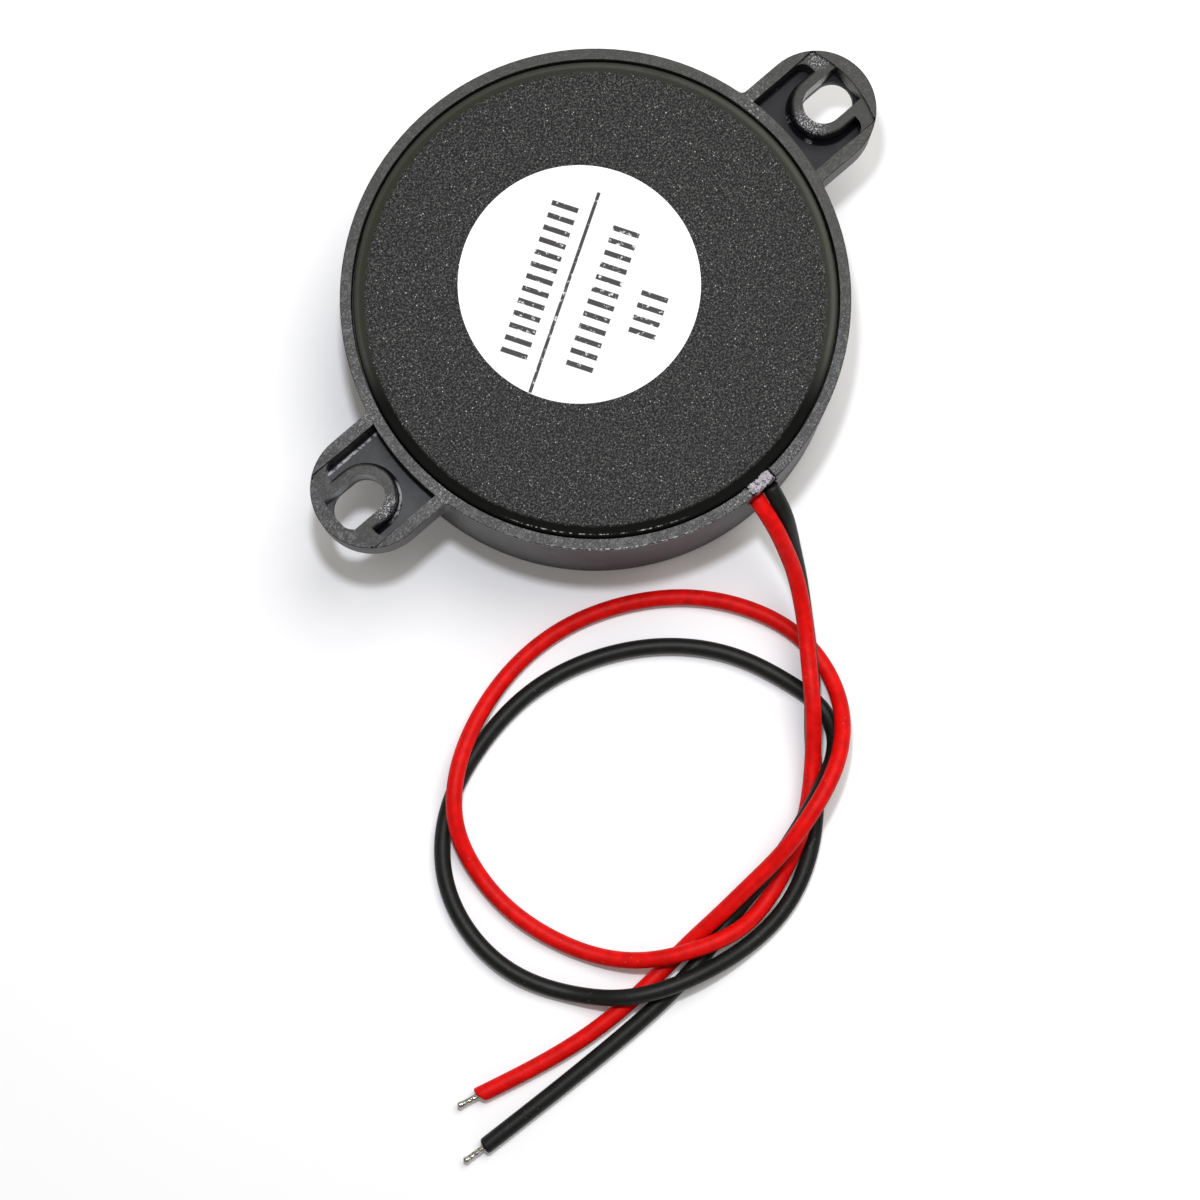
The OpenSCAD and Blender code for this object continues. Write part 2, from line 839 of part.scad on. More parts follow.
housing();
back_cover();
back_label();
disc_adhesive();
piezo_plate();
piezo_ceramic();
drive_electrode();
feedback_electrode();
circuit_board();
transistor();
inductor_core();
inductor_winding();
base_resistor();
bias_resistor();
diode();
plate_wire();
drive_wire();
feedback_wire();
disc_solder();
board_solder();
red_tail();
black_tail();
red_lead();
black_lead();
red_tip();
black_tip();
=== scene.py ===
from math import radians

import bmesh
import bpy
import numpy as np
from mathutils import Matrix, Vector


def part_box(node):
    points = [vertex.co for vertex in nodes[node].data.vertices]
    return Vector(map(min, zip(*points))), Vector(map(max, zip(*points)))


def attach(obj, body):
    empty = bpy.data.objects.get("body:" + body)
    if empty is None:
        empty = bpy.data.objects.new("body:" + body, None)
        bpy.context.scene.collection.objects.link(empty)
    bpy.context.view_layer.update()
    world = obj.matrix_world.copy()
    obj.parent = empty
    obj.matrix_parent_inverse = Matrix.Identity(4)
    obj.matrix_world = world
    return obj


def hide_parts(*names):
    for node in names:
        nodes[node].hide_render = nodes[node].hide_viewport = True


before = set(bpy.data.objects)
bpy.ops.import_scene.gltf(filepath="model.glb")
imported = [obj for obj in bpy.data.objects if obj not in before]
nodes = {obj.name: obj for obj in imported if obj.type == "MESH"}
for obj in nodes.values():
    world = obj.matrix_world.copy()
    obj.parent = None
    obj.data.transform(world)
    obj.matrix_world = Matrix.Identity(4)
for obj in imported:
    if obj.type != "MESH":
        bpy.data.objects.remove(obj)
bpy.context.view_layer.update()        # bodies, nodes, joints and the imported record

mm = 0.001

# Camera: lies over the buzzer, turned so that the ears run from lower left to upper right
cameraView = {
    "place": (-34.34, -38.15, 239.25),         # mm, in the part's own frame
    "look": (0.0801, 0.0838, -0.9933),
    "up": (0.6512, 0.75, 0.1158),
    "focalPixels": 2798.9,
    "framePixels": 1200,
    "sensorWidth": 36.0,
    "clip": (0.01, 10),
}


def makeCamera():
    look = Vector(cameraView["look"]).normalized()
    right = look.cross(Vector(cameraView["up"])).normalized()
    data = bpy.data.cameras.new("camera")
    data.sensor_width = cameraView["sensorWidth"]
    data.lens = cameraView["focalPixels"] / cameraView["framePixels"] * cameraView["sensorWidth"]
    data.clip_start, data.clip_end = cameraView["clip"]
    camera = bpy.data.objects.new("camera", data)
    turned = Matrix((right, right.cross(look), -look)).transposed().to_4x4()
    turned.translation = Vector(cameraView["place"]) * mm
    camera.matrix_world = turned
    bpy.context.scene.collection.objects.link(camera)
    bpy.context.scene.camera = camera


makeCamera()
print("camera ready")


class Signal:                                  # one output in a material, with the sums that are used
    def __init__(self, finish, socket):
        self.finish, self.socket = finish, socket

    def sum(self, operation, *values):
        return self.finish.use("ShaderNodeMath", {"operation": operation}, dict(enumerate(values)))

    def __add__(self, other):
        return self.sum("ADD", self, other)

    def __sub__(self, other):
        return self.sum("SUBTRACT", self, other)

    def __rsub__(self, other):
        return self.sum("SUBTRACT", other, self)

    def __mul__(self, other):
        return self.sum("MULTIPLY", self, other)

    def __pow__(self, other):
        return self.sum("POWER", self, other)

    def __abs__(self):
        return self.sum("ABSOLUTE", self)

    def __mod__(self, other):
        return self.sum("FLOORED_MODULO", self, other)

    __radd__, __rmul__ = __add__, __mul__

    def most(self, other):
        return self.sum("MAXIMUM", self, other)

    def ramp(self, low, high):                 # 0 at low, 1 at high, smooth between them and level beyond
        rising = low < high
        ends = {"Value": self, "From Min": min(low, high), "From Max": max(low, high),
                "To Min": 0.0 if rising else 1.0, "To Max": 1.0 if rising else 0.0}
        return self.finish.use("ShaderNodeMapRange", {"interpolation_type": "SMOOTHSTEP"}, ends)


class Finish:                                  # one material
    def __init__(self, name):
        self.material = bpy.data.materials.new(name)
        self.material.use_nodes = True
        self.tree = self.material.node_tree
        self.tree.nodes.clear()
        place = {0: self.use("ShaderNodeTexCoord", out="Object"), "Scale": 1 / mm}
        self.place = self.use("ShaderNodeVectorMath", {"operation": "SCALE"}, place)
        self.x, self.y, self.z = self.parts(self.place)

    def node(self, kind, settings=None, sockets=None):
        made = self.tree.nodes.new(kind)
        for key, value in (settings or {}).items():
            setattr(made, key, value)
        for key, value in (sockets or {}).items():
            if isinstance(value, Signal):
                self.tree.links.new(value.socket, made.inputs[key])
            else:
                made.inputs[key].default_value = value
        return made

    def use(self, kind, settings=None, sockets=None, out=0):
        return Signal(self, self.node(kind, settings, sockets).outputs[out])

    def parts(self, vector):                   # its three numbers
        split = self.node("ShaderNodeSeparateXYZ", {}, {0: vector})
        return [Signal(self, socket) for socket in split.outputs]

    def noise(self, perMm, detail=2.0, roughness=0.5, stretch=None):
        place = self.place
        if stretch:
            place = self.use("ShaderNodeVectorMath", {"operation": "MULTIPLY"}, {0: place, 1: stretch})
        return self.use("ShaderNodeTexNoise", {}, {"Vector": place, "Scale": perMm, "Detail": detail,
                                                   "Roughness": roughness})

    def pattern(self, noise, low, high):       # noise that is 0 below low and 1 above high
        return self.noise(*noise).ramp(low, high)

    def layers(self, rows):                    # noises added up, each with its strength
        return sum(strength * self.noise(*noise) for strength, noise in rows)

    def cells(self, perMm, out="Distance"):
        return self.use("ShaderNodeTexVoronoi", {}, {"Vector": self.place, "Scale": perMm}, out=out)

    def mix(self, share, first, second):       # two colours
        first, second = (c if isinstance(c, Signal) else (*c, 1.0) for c in (first, second))
        return self.use("ShaderNodeMix", {"data_type": "RGBA"}, {0: share, 6: first, 7: second}, out=2)

    def far(self, across, along):              # distance, mm
        return (across * across + along * along) ** 0.5

    def near(self, spots):                     # 1 at the middle of a spot (x, y, reach), 0 outside them all
        found = None
        for x, y, reach in spots:
            spot = self.far(self.x - x, self.y - y).ramp(reach, 0.0)
            found = found.most(spot) if found else spot
        return found

    def finished(self, color, roughness, height=None, **fixed):       # height of the fine relief, mm
        color = color if isinstance(color, Signal) else (*color, 1.0)
        sockets = {"Base Color": color, "Roughness": roughness}
        sockets.update({key.replace("_", " "): value for key, value in fixed.items()})
        if height is not None:
            sockets["Normal"] = self.use("ShaderNodeBump", {}, {"Height": height, "Distance": mm})
        shader = self.use("ShaderNodeBsdfPrincipled", {}, sockets)
        self.node("ShaderNodeOutputMaterial", {}, {"Surface": shader})
        return self.material


def makePiece(name, points, faces, material, slot, *replaced):
    mesh = bpy.data.meshes.new(name)
    mesh.from_pydata(points.tolist(), [], faces)
    mesh.materials.append(material)
    mesh.shade_smooth()
    piece = bpy.data.objects.new(name, mesh)
    bpy.context.scene.collection.objects.link(piece)
    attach(piece, "root")
    if replaced:
        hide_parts(*replaced)
    return piece


# Faces of a stack of closed rings: quads between neighbours, and a fan onto one middle point at each end
def ringFaces(count, sides):
    around = np.arange(sides)
    here = np.arange(count - 1)[:, None] * sides + around
    onward = np.arange(count - 1)[:, None] * sides + (around + 1) % sides
    walls = np.stack([here, onward, onward + sides, here + sides], axis=-1).reshape(-1, 4)
    last, foot = (count - 1) * sides, count * sides
    start = [[foot, (k + 1) % sides, k] for k in around]
    finish = [[foot + 1, last + k, last + (k + 1) % sides] for k in around]
    return walls.tolist() + start + finish


# Rings with their two middle points behind them
def ringPoints(rings):
    flat = rings.reshape(-1, 3)
    return np.vstack([flat, rings[0].mean(0), rings[-1].mean(0)])


# Free leads. Each route runs from the notch to where the insulation ends, in mm
leadShape = {
    "radius": 0.7,
    "sides": 24,
    "step": 0.3,          # between two rings, mm
    "soften": 1.2,        # half the stretch that a running mean covers, mm
    "fine": 4000,         # points on the line before it is cut at even steps
    "endRound": 0.18,
    "endSteps": 5,
    "leanReach": 2.0,     # the rings begin to lean with the cut end this far from it, mm
    "coreRadius": 0.26,
    "coreRings": (1.05, 0.9),                  # the two last rings, as shares of the core's radius
    "coreDip": 0.12,      # how far the face goes in there, mm
}
redLead = {
    "name": "red_lead_jacket",
    "length": 168.4,
    "slant": 0.34,        # how far the cut end leans, mm
    "slantTurn": 150,
    "route": [
        [-0.75, -21, 11.6], [-0.9, -22.3, 11.4], [-1, -23.8, 10.5],
        [-1.3, -25.5, 8.7], [-1.6, -27.1, 7], [-2.4, -29, 5.5], [-3.7, -31.3, 4.4],
        [-5.7, -34.1, 3.9], [-7.7, -36.9, 3.8], [-9.6, -39.2, 2.7], [-14.2, -43.5, 1.9],
        [-17.4, -45.3, 1.1], [-21.3, -46.7, 0.8], [-24.3, -47, 1.8], [-28.2, -45.9, 2.6],
        [-32.2, -43.8, 2], [-35.2, -40.7, 0.9], [-37.2, -36.8, 0.8], [-38.3, -32.4, 0.8],
        [-38.2, -28.3, 0.9], [-36.6, -23.9, 2.2], [-33.9, -21.2, 2.4], [-30.2, -19.1, 1.6],
        [-23.5, -17.5, 0.8], [-19, -17.8, 0.8], [-13.9, -19.6, 0.8], [-9.1, -22.9, 0.8],
        [-5.8, -27.2, 0.8], [-4.2, -32, 0.8], [-4.7, -36.3, 1.4], [-7, -40, 3.3],
        [-10.6, -42.4, 4.8], [-14.2, -43.6, 5.1], [-17.6, -44.4, 4.1], [-21.8, -44.7, 2.8],
        [-25.1, -44.9, 2.1], [-28.3, -45, 0.9], [-32.3, -45.3, 0.8], [-39.3, -45.3, 0.8],
        [-50.2, -43, 0.8]],
}
blackLead = {
    "name": "black_lead_jacket",
    "length": 171.6,
    "slant": 0.12,
    "slantTurn": 60,
    "route": [
        [0.75, -21, 11.6], [0.62, -22, 11.4], [0.42, -23.2, 10.5], [0.05, -24.5, 8.6],
        [-0.62, -26.1, 6.3], [-1.25, -27.6, 4.7], [-2.5, -29.8, 3.1], [-4.1, -32.3, 2.4],
        [-6.5, -35.6, 2.3], [-7.8, -37.1, 2.2], [-9.3, -38.9, 1.2], [-12.6, -43.2, 0.8],
        [-15.2, -45.6, 0.8], [-18, -47.3, 0.8], [-21.8, -48.4, 0.8], [-25.5, -48.4, 1],
        [-28.3, -47.9, 1.9], [-32, -46.8, 2.4], [-35.4, -45.1, 2.4], [-38.4, -42.3, 0.9],
        [-41.2, -37.9, 0.8], [-42.1, -33.4, 0.8], [-40.7, -27.4, 0.8], [-36.6, -23, 0.8],
        [-31.2, -20.8, 0.8], [-24.5, -20.1, 0.8], [-18.3, -21.7, 0.8], [-12.1, -25.9, 0.8],
        [-9.1, -30, 0.8], [-7.4, -34.5, 0.8], [-6.8, -37.4, 0.8], [-7.7, -40.1, 1.7],
        [-10.3, -41.9, 3.1], [-13.6, -43.2, 3.5], [-17.4, -44.4, 2.5], [-20.9, -45.1, 1.6],
        [-24.4, -45.7, 0.8], [-28.2, -46.6, 0.8], [-37.4, -47.2, 0.8], [-52.7, -46.5, 0.8]],
}


# Running mean over a few mm, three times, with the ends held by turning the line over there
def soften(line, reach):
    for _ in range(3):
        longer = np.vstack([2 * line[0] - line[reach:0:-1], line, 2 * line[-1] - line[-2:-reach - 2:-1]])
        total = np.vstack([np.zeros(3), np.cumsum(longer, axis=0)])
        line = (total[2 * reach + 1:] - total[:-2 * reach - 1]) / (2 * reach + 1)
    return line


# Cubic spline on the distance between its points: it leaves along -Y and ends with no bend.
# The bends at the points come from one set of equations, and the line is then cut at even steps.
def smoothLine(route, step):
    at = np.array(route, float)
    gap = np.linalg.norm(np.diff(at, axis=0), axis=1)
    slope = np.diff(at, axis=0) / gap[:, None]
    size = len(at)
    left, right = np.zeros((size, size)), np.zeros((size, 3))
    inner = np.arange(1, size - 1)
    left[inner, inner - 1], left[inner, inner + 1] = gap[:-1], gap[1:]
    left[inner, inner] = 2 * (gap[:-1] + gap[1:])
    right[inner] = 6 * (slope[1:] - slope[:-1])
    left[0, 0], left[0, 1], left[-1, -1] = 2 * gap[0], gap[0], 1
    right[0] = 6 * (slope[0] - np.array([0, -1, 0]))
    bend = np.linalg.solve(left, right)
    knots = np.r_[0, np.cumsum(gap)]
    t = np.linspace(0, knots[-1], leadShape["fine"])
    k = np.clip(np.searchsorted(knots, t, side="right") - 1, 0, size - 2)
    a, b, h = (knots[k + 1] - t)[:, None], (t - knots[k])[:, None], gap[k][:, None]
    line = ((bend[k] * a ** 3 + bend[k + 1] * b ** 3) / (6 * h)
            + (at[k] / h - bend[k] * h / 6) * a + (at[k + 1] / h - bend[k + 1] * h / 6) * b)
    line = soften(line, int(leadShape["soften"] / knots[-1] * len(line)))
    line[:, 2] = np.maximum(line[:, 2], leadShape["radius"])
    walked = np.r_[0, np.cumsum(np.linalg.norm(np.diff(line, axis=0), axis=1))]
    even = np.linspace(0, walked[-1], int(walked[-1] / step) + 1)
    return np.stack([np.interp(even, walked, line[:, c]) for c in range(3)], axis=1)


# Two directions square to a line at each of its points: one level, one standing on both
def sideWays(line):
    along = np.gradient(line, axis=0)
    along /= np.linalg.norm(along, axis=1, keepdims=True)
    level = np.cross([0, 0, 1.0], along)
    level /= np.linalg.norm(level, axis=1, keepdims=True)
    return along, level, np.cross(along, level)


# A round section carried along the line. At the far end its edge is rounded off by a quarter circle,
# the cut leans by a cosine round the section, and the face goes in a little round the core.
def makeLead(lead, material, slot, node, tip):
    s = leadShape
    line = smoothLine(lead["route"], s["step"])
    along, level, over = sideWays(line)
    turn = np.linspace(0, 2 * np.pi, s["sides"], endpoint=False)
    bend = np.linspace(0, np.pi / 2, s["endSteps"])[1:]
    radius, soft = s["radius"], s["endRound"]
    endRadius = np.r_[radius - soft * (1 - np.cos(bend)), s["coreRadius"] * np.array(s["coreRings"])]
    endAlong = np.r_[soft * (np.sin(bend) - 1), 0, -s["coreDip"]]
    section = np.cos(turn)[:, None] * level[:, None] + np.sin(turn)[:, None] * over[:, None]
    rings = line[:, None] + radius * section
    share = np.clip(1 - np.linalg.norm(line - line[-1], axis=1) / s["leanReach"], 0, 1)
    lean = lead["slant"] * np.cos(turn - radians(lead["slantTurn"]))
    rings += (share[:, None] * lean)[..., None] * along[:, None]
    ends = (line[-1] + endRadius[:, None, None] * section[-1]
            + (endAlong[:, None] + lean * endRadius[:, None] / radius)[..., None] * along[-1])
    rings = np.concatenate([rings[:-1], ends])
    piece = makePiece(lead["name"], ringPoints(rings) * mm, ringFaces(len(rings), len(turn)),
                      material, slot, node)
    bare = makeTip(tip, line[-1], along[-1])
    return piece


# Bare ends of the leads: seven strands under solder, with a small bead at the end
tipShape = {
    "radius": 0.24,
    "length": 2.1,
    "start": -0.15,
    "strands": 7,
    "pitch": 3.4,         # mm for a whole turn of the strands
    "groove": 0.14,       # depth of the grooves, as a share of the radius
    "beadLong": 0.42,
    "beadMore": 0.045,    # how much thicker the bead at the end is, mm
    "closing": 0.22,      # length over which the end closes, mm
    "least": 1e-4,        # square of the last ring's size, as a share of the radius
    "sides": 42,
    "rings": 60,
}
redTip = {"name": "red_tip_strands", "node": "red_tip", "turn": 20, "side": 0.05}
blackTip = {"name": "black_tip_strands", "node": "black_tip", "turn": 200, "side": -0.07}


# Radius: a cosine of seven waves round the section, turned along the length, swollen near the end
# and closed there by the square root of what is left of a circle.
def makeTip(tip, start, along):
    s = tipShape
    level = np.cross([0, 0, 1.0], along)
    level /= np.linalg.norm(level)
    over = np.cross(along, level)
    far = np.linspace(s["start"], s["length"], s["rings"])[:, None]
    turn = np.linspace(0, 2 * np.pi, s["sides"], endpoint=False)[None]
    twist = 2 * np.pi * far / s["pitch"] + radians(tip["turn"])
    bead = np.exp(-((far - s["length"] + s["beadLong"] / 2) / (s["beadLong"] / 2)) ** 2)
    groove = s["groove"] * (1 - bead) * (np.abs(np.cos(s["strands"] / 2 * (turn - twist))) - 1)
    size = s["radius"] * (1 + groove) + s["beadMore"] * bead
    left = np.clip((s["length"] - far) / s["closing"], 0, 1)
    size = size * np.sqrt(1 - (1 - left) ** 2 + s["least"])
    sway = tip["side"] * (far / s["length"]) ** 2
    rings = (start + far[..., None] * along + sway[..., None] * level
             + size[..., None] * (np.cos(turn)[..., None] * level + np.sin(turn)[..., None] * over))
    return makePiece(tip["name"], ringPoints(rings) * mm, ringFaces(s["rings"], s["sides"]), tinned,
                     "tinned_wire", tip["node"])


# Noises in the looks below: changes per mm, detail, roughness, stretch. A pattern has its two ends
# behind its noise, and a layer has its strength before it. Heights are in mm.
jacketGrain = {
    "speck": (0.2, 0.06),                      # soft end of a speck of dust, as a share of its cell
    "dusty": ((0.35, 2), 0.5, 0.68),
    "cloud": ((1.2, 3), 0.35, 0.7),
    "dull": [(0.14, (4, 2))],
    "relief": [(0.006, (6, 3)), (0.02, (0.9, 2))],
}
redLook = {"color": (0.72, 0.003, 0.002), "deep": (0.56, 0.002, 0.0015), "roughness": 0.44, "shine": 0.13,
           "dust": (0.95, 0.6, 0.55), "dustShare": 0.12, "dustPerMm": 2.2}
blackLook = {"color": (0.0085, 0.0095, 0.008), "deep": (0.005, 0.006, 0.005), "roughness": 0.42,
             "shine": 0.22, "dust": (0.3, 0.3, 0.29), "dustShare": 0.25, "dustPerMm": 2.6}


def jacketFinish(name, look):
    f = Finish(name)
    dust = f.cells(look["dustPerMm"]).ramp(*jacketGrain["speck"]) * f.pattern(*jacketGrain["dusty"])
    color = f.mix(f.pattern(*jacketGrain["cloud"]), look["deep"], look["color"])
    color = f.mix(dust * look["dustShare"], color, look["dust"])
    roughness = look["roughness"] + f.layers(jacketGrain["dull"])
    return f.finished(color, roughness, f.layers(jacketGrain["relief"]), Specular_IOR_Level=look["shine"])


tinnedLook = {
    "dull": ((3.5, 3), 0.4, 0.7),
    "bright": (0.5, 0.47, 0.42),
    "dark": (0.2, 0.18, 0.15),
    "roughness": (0.24, 0.3),                  # where bright, and what is added where dull
    "relief": [(0.02, (7, 2))],
}


def tinnedFinish():
    look = tinnedLook
    f = Finish("tinned_wire")
    dull = f.pattern(*look["dull"])
    roughness = look["roughness"][0] + look["roughness"][1] * dull
    return f.finished(f.mix(dull, look["bright"], look["dark"]), roughness, f.layers(look["relief"]),
                      Metallic=1.0)


tinned = tinnedFinish()
redJacket = jacketFinish("red_jacket", redLook)
blackJacket = jacketFinish("black_jacket", blackLook)
makeLead(redLead, redJacket, "red_jacket", "red_lead", redTip)
makeLead(blackLead, blackJacket, "black_jacket", "black_lead", blackTip)
print("leads laid")

# Floor and lamps
stageLook = {
    "floorHalf": 1.5,
    "floorDown": 0.00002,                      # it lies a hair below the front face
    "floorColor": (0.875, 0.875, 0.885),
    "lift": 0.06,                              # added for the camera and for reflections only
    "farLift": 0.8,                            # the same, far from the part
    "farFrom": (70, 260),                      # where that sets in and where it is full, mm
    "liftColor": (0.98, 0.97, 0.95),
    "worldColor": (1.0, 0.96, 0.9),
    "worldStrength": 0.27,
    "lamps": [
        {"name": "key_lamp", "at": (-0.006, 0.003, 0.195), "size": 0.013, "power": 0.185,
         "color": (0.95, 0.98, 1.05)},
        {"name": "side_lamp", "at": (0.177, 0.034, 0.42), "size": 0.3, "power": 1.34,
         "color": (1.0, 0.99, 0.96)},
    ],
}


def makeFloor():
    half, low = stageLook["floorHalf"], -stageLook["floorDown"]
    mesh = bpy.data.meshes.new("floor")
    corners = [(-half, -half, low), (half, -half, low), (half, half, low), (-half, half, low)]
    mesh.from_pydata(corners, [], [(0, 1, 2, 3)])
    f = Finish("floor")
    rays = f.node("ShaderNodeLightPath").outputs
    seen = Signal(f, rays["Is Camera Ray"])
    for kind in ("Is Glossy Ray", "Is Transmission Ray"):
        seen = seen.most(Signal(f, rays[kind]))
    plain = f.use("ShaderNodeBsdfDiffuse", {}, {"Color": (*stageLook["floorColor"], 1.0)})
    tint = (*stageLook["liftColor"], 1.0)
    away = f.far(f.x, f.y).ramp(*stageLook["farFrom"])
    share = seen * (stageLook["lift"] + stageLook["farLift"] * away)
    lift = f.use("ShaderNodeEmission", {}, {"Color": tint, "Strength": share})
    both = f.use("ShaderNodeAddShader", {}, {0: plain, 1: lift})
    f.node("ShaderNodeOutputMaterial", {}, {"Surface": both})
    mesh.materials.append(f.material)
    floor = bpy.data.objects.new("floor", mesh)
    bpy.context.scene.collection.objects.link(floor)


def makeLights():
    world = bpy.data.worlds.new("world")
    world.use_nodes = True
    back = world.node_tree.nodes["Background"]
    back.inputs["Color"].default_value = (*stageLook["worldColor"], 1.0)
    back.inputs["Strength"].default_value = stageLook["worldStrength"]
    bpy.context.scene.world = world
    for lamp in stageLook["lamps"]:
        data = bpy.data.lights.new(lamp["name"], "AREA")
        data.shape, data.size, data.energy = "DISK", lamp["size"], lamp["power"]
        data.color = lamp["color"]
        made = bpy.data.objects.new(lamp["name"], data)
        made.location = lamp["at"]
        made.visible_camera = False            # a lamp may stand between the camera and the part
        made.rotation_euler = Vector(lamp["at"]).to_track_quat("Z", "Y").to_euler()
        bpy.context.scene.collection.objects.link(made)


makeFloor()
makeLights()
bpy.context.scene.view_settings.view_transform = "Standard"
print("floor and lamps ready")

# Sizes that the finishes need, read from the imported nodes
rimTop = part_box("housing")[1].z / mm
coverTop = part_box("back_cover")[1].z / mm
bodyRadius = -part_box("housing")[0].y / mm
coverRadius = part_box("back_cover")[1].y / mm

# Housing. A pair of numbers in mm is a soft step, from where it is 0 to where it is 1
housingLook = {
    "color": (0.0115, 0.0105, 0.0115),         # side walls and the front
    "topColor": (0.0245, 0.024, 0.0235),       # rim and the tops of the ears' walls
    "oliveColor": (0.026, 0.0252, 0.021),      # the same faces, towards the upper right
    "bossColor": (0.019, 0.0192, 0.0155),
    # painted shade of the ears' hollows
    "pocketShadeColor": (0.006, 0.006, 0.008),
    "dustColor": (0.082, 0.072, 0.071),
    # whitish colour of real scuffs and of the painted highlights (glints)
    "scuffAndGlintColor": (0.6, 0.6, 0.62),
    # painted shade along the rim's bevelled outer edge
    "brinkColor": (0.004, 0.004, 0.004),
    "roughness": {"wall": 0.5, "top": 0.54, "pocket": 0.22, "rightFloor": 0.6, "leftFloor": 0.46,
                  "uneven": 0.12},
    "shine": 0.3,
    "bevel": 0.07,
    "shares": {"leastDust": 0.2, "streak": 0.3, "cloud": 0.4, "boss": 0.6, "clean": 0.6, "scrape": 0.7,
               "spark": 0.85, "foot": 0.6, "brink": 0.75},
    "heights": {"fine": 0.006, "topFine": 0.012, "scrape": 0.03, "streak": 0.01, "floor": 0.006,
                "spark": 0.05},
    # places in the plan, mm
    "pocketHalf": 3.9,                         # half the width of the hollow in an ear
    "pocketFloor": 11.5,                       # its height
    "earMiddle": 24.25,                        # centre of an ear's round end, from the axis
    "bossMiddle": 25.0,                        # centre of a boss's round end, from the axis
    "bossFoot": 2.86,                          # radius of its foot
    "wallFoot": 3.55,
    "left": (0, -1),
    "dustier": (-15.0, -4.0),                  # along X
    "clean": (-5.714, 11.43),                  # along X and Y together
    "pocketSide": (3.92, 3.85),
    "pocketEnd": (4.87, 4.83),                 # from the centre of the ear's round end
    "pocketStart": (-0.05, 0.02),              # out from the round wall
    "edgeStart": (-0.16, -0.06),
    "ringWidth": (0.15, 0.05),
    "ledgeWidth": (0.16, 0.06),
    # depths below the rim and heights over an ear's floor, mm
    "topDepth": (0.5, 0.25),
    "bossDepth": (0.12, 0.2),
    "sparkDepth": (0.85, 0.6),
    "sparkEnd": (0.2, 0.26),
    "brinkDepth": (0.12, 0.08),
    "brinkSlope": ((0.97, 0.8), (0.05, 0.3)),  # upward part of the face's direction
    "pocketLow": (-0.5, -0.4),
    "floorHigh": (0.12, 0.04),
    "footHigh": (0.45, 0.3),
    # spots: place in the plan and reach, mm
    "worn": [(20.6, 3.6, 3.2), (-20.5, 5.2, 3.2), (-20.4, -4.0, 3.2), (3.4, -20.5, 3.2), (-2.2, -20.4, 3.2)],
    # where the painted highlights on the rim's outer edge lie
    "edgeGlintSpots": [(-12, -17, 14)],
    # where the painted highlights on the bosses lie
    "sparks": [(22.8, -0.6, 2.4), (27.3, 3.2, 1.5), (-24.3, -2.2, 1.9)],
    "sparkCore": (0.0, 0.9),
    # where the painted highlights at the feet of the bosses lie
    "feet": [(-23.1, -2.1, 2.6), (22.45, -1.24, 0.5), (22.45, 1.26, 0.45)],
    "footCore": (0.1, 0.5),
    "cloud": (0.7, 4, 0.6),
    "dustCloud": (0.4, 0.75),
    "fine": (9, 3, 0.65),
    "floorGrain": (4, 3, 0.6, (0.5, 2, 1)),
    "streak": ((2.2, 3, 0.6, (0.3, 0.3, 4)), 0.35, 0.8),
    "scrape": ((4.5, 3, 0.75, (1.6, 0.8, 1)), 0.5, 0.66),
    "flecks": [(0.36, (6.5, 4, 0.75), 0.52, 0.7), (0.08, (1.7, 3, 0.7), 0.46, 0.66),
               (0.22, (5, 2, 0.5, (0.5, 2.2, 1)), 0.62, 0.72)],
    "edgeGlint": ((3.5, 2, 0.6), 0.5, 0.6),
    "sparkGlint": ((6.5, 3, 0.7), 0.47, 0.6),
    "footGlint": ((2.2, 3, 0.7), 0.38, 0.6),
}


